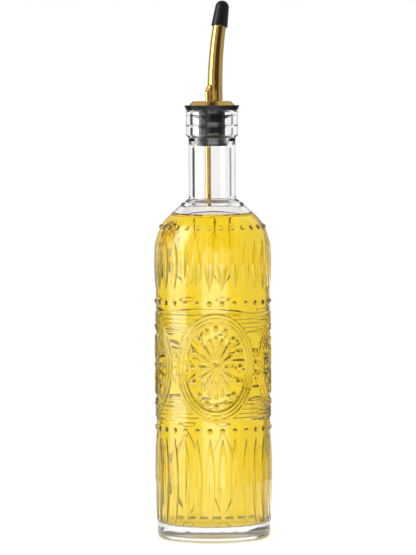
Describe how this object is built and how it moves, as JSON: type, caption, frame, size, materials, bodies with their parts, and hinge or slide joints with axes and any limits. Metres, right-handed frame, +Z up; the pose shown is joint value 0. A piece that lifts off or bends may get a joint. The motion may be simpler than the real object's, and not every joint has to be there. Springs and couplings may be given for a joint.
{
  "type": "olive oil dispenser bottle",
  "caption": "Clear embossed glass bottle filled with olive oil, closed by a black rubber stopper with a gold pouring spout, vent tube and cap.",
  "frame": {"origin": "on the bottle's axis, in the plane of the foot that it stands on", "axes": "+Z up along the bottle's axis; one medallion faces -Y, and the spout leans towards +X and +Y"},
  "size_m": [0.0672, 0.0672, 0.3074],
  "materials": {
    "glass": "clear, polished",
    "oil": "clear yellow liquid",
    "rubber": "satin",
    "gold": "polished"
  },
  "bodies": {
    "root": {"bottle": "glass", "oil": "oil", "stopper": "rubber", "spout_plate": "gold", "spout": "gold", "vent_tube": "gold", "cap": "rubber"}
  },
  "joints": []
}
